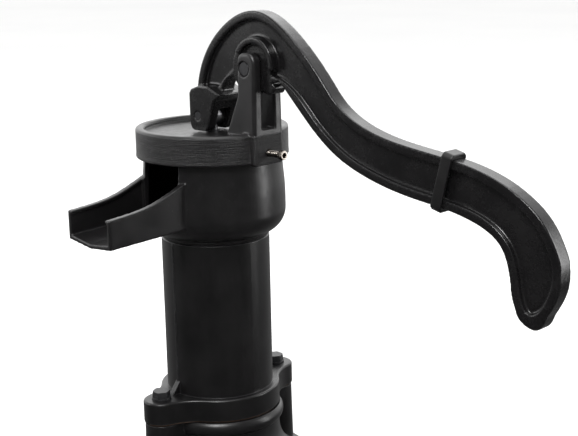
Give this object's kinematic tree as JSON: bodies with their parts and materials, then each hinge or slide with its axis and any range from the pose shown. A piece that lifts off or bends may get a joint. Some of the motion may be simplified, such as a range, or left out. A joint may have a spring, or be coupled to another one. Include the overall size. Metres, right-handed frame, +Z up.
{
  "type": "hand well pump",
  "caption": "Pitcher hand pump: swan-neck lever on a swivelling cap, rod and cup plunger in an upright barrel, open spout, and a bell base with a suction inlet and flap valve.",
  "frame": {"origin": "centre of the base's underside, the face that stands on the well cover", "axes": "+Z up the barrel's axis, +X along the handle at rest, -Y near the spout, which stands 94.2 degrees from the handle"},
  "size_m": [0.412, 0.2033, 0.3953],
  "materials": {
    "black_plastic": "satin",
    "black_steel": "satin",
    "bright_steel": "brushed",
    "brass": "satin",
    "grey_iron": "cast",
    "leather": "oiled",
    "rubber": "matt",
    "slip_washer": "satin"
  },
  "bodies": {
    "pump": {"base": "black_plastic", "base_inserts": "brass", "foot_leather": "leather", "cylinder": "black_plastic", "flange_bolts": "black_steel", "flange_washers": "black_steel", "spout_head": "black_plastic", "spigot_seal": "rubber", "cap_washer": "slip_washer"},
    "flap": {"foot_flap": "leather", "flap_weight": "grey_iron", "flap_washer": "brass", "flap_screw": "brass"},
    "cap": {"cap": "black_plastic", "screw_insert": "brass", "fulcrum_pin": "black_steel", "fulcrum_clip": "black_steel"},
    "set_screw": {"set_screw": "bright_steel"},
    "handle": {"handle": "black_plastic", "handle_bush": "brass", "handle_collar": "black_plastic", "rod_pin": "bright_steel"},
    "rod": {"piston_rod": "bright_steel", "rod_foot": "bright_steel", "rod_locknut": "bright_steel", "plunger_pin": "bright_steel"},
    "plunger": {"plunger_body": "grey_iron", "cup_leather": "leather", "plunger_follower": "grey_iron"},
    "plunger_valve": {"plunger_valve": "brass"}
  },
  "joints": [
    {"name": "cap_swivel", "type": "hinge", "parent": "pump", "child": "cap", "pos_m": [0, 0, 0.3], "axis": [0, 0, 1], "continuous": true},
    {"name": "set_screw_travel", "type": "slide", "parent": "cap", "child": "set_screw", "axis": [1, 0, 0], "range_m": [0, 0.003]},
    {"name": "handle_pivot", "type": "hinge", "parent": "cap", "child": "handle", "pos_m": [0.0537, 0, 0.351], "axis": [0, 1, 0], "range_deg": [0, 30]},
    {"name": "rod_swing", "type": "hinge", "parent": "handle", "child": "rod", "pos_m": [0, 0, 0.3099], "axis": [0, 1, 0], "range_deg": [-35, 0]},
    {"name": "plunger_slide", "type": "slide", "parent": "cap", "child": "plunger", "axis": [0, 0, 1], "range_m": [0, 0.0335]},
    {"name": "valve_lift", "type": "slide", "parent": "plunger", "child": "plunger_valve", "axis": [0, 0, 1], "range_m": [0, 0.006]},
    {"name": "flap_hinge", "type": "hinge", "parent": "pump", "child": "flap", "pos_m": [0.00183, 0.02493, 0.061], "axis": [-0.9973, 0.0732, 0], "range_deg": [0, 35]}
  ],
  "couplings": [
    {"joint": "rod_swing", "follows": "handle_pivot", "ratio": -1.155},
    {"joint": "plunger_slide", "follows": "handle_pivot", "m_per_rad": 0.0628}
  ]
}
